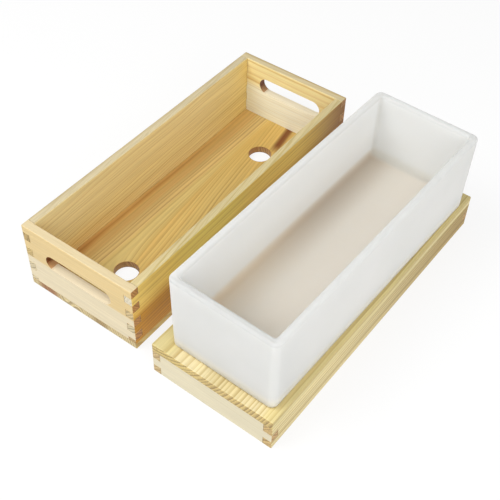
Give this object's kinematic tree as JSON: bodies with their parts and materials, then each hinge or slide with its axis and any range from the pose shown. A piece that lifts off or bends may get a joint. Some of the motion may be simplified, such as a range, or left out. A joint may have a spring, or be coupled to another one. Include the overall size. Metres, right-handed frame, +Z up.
{
  "type": "soap loaf mould",
  "caption": "Finger-jointed pine box with hand slots and push-out holes, a rimmed pine lid and a white silicone loaf liner standing on it.",
  "frame": {"origin": "middle of the box's underside, on the surface that the set stands on", "axes": "+Z up, +Y along the box towards its far end, +X across the box towards the lid"},
  "size_m": [0.2441, 0.2907, 0.105],
  "materials": {
    "box_panel": "bare sanded pine",
    "box_side": "bare sanded pine",
    "box_end": "bare sanded pine",
    "lid_panel": "bare sanded pine",
    "lid_side": "bare sanded pine",
    "lid_end": "bare sanded pine",
    "liner": "satin translucent white silicone"
  },
  "bodies": {
    "box": {"box_base_panel": "box_panel", "box_side_left": "box_side", "box_side_right": "box_side", "box_end_near": "box_end", "box_end_far": "box_end"},
    "lid": {"lid_top_panel": "lid_panel", "lid_side_left": "lid_side", "lid_side_right": "lid_side", "lid_end_near": "lid_end", "lid_end_far": "lid_end"},
    "liner": {"silicone_liner": "liner"}
  },
  "joints": [
    {"name": "lid_lift", "type": "slide", "parent": "box", "child": "lid", "axis": [0, 0, 1], "range_m": [0, 0.12]},
    {"name": "liner_lift", "type": "slide", "parent": "lid", "child": "liner", "axis": [0, 0, 1], "range_m": [0, 0.12]}
  ]
}
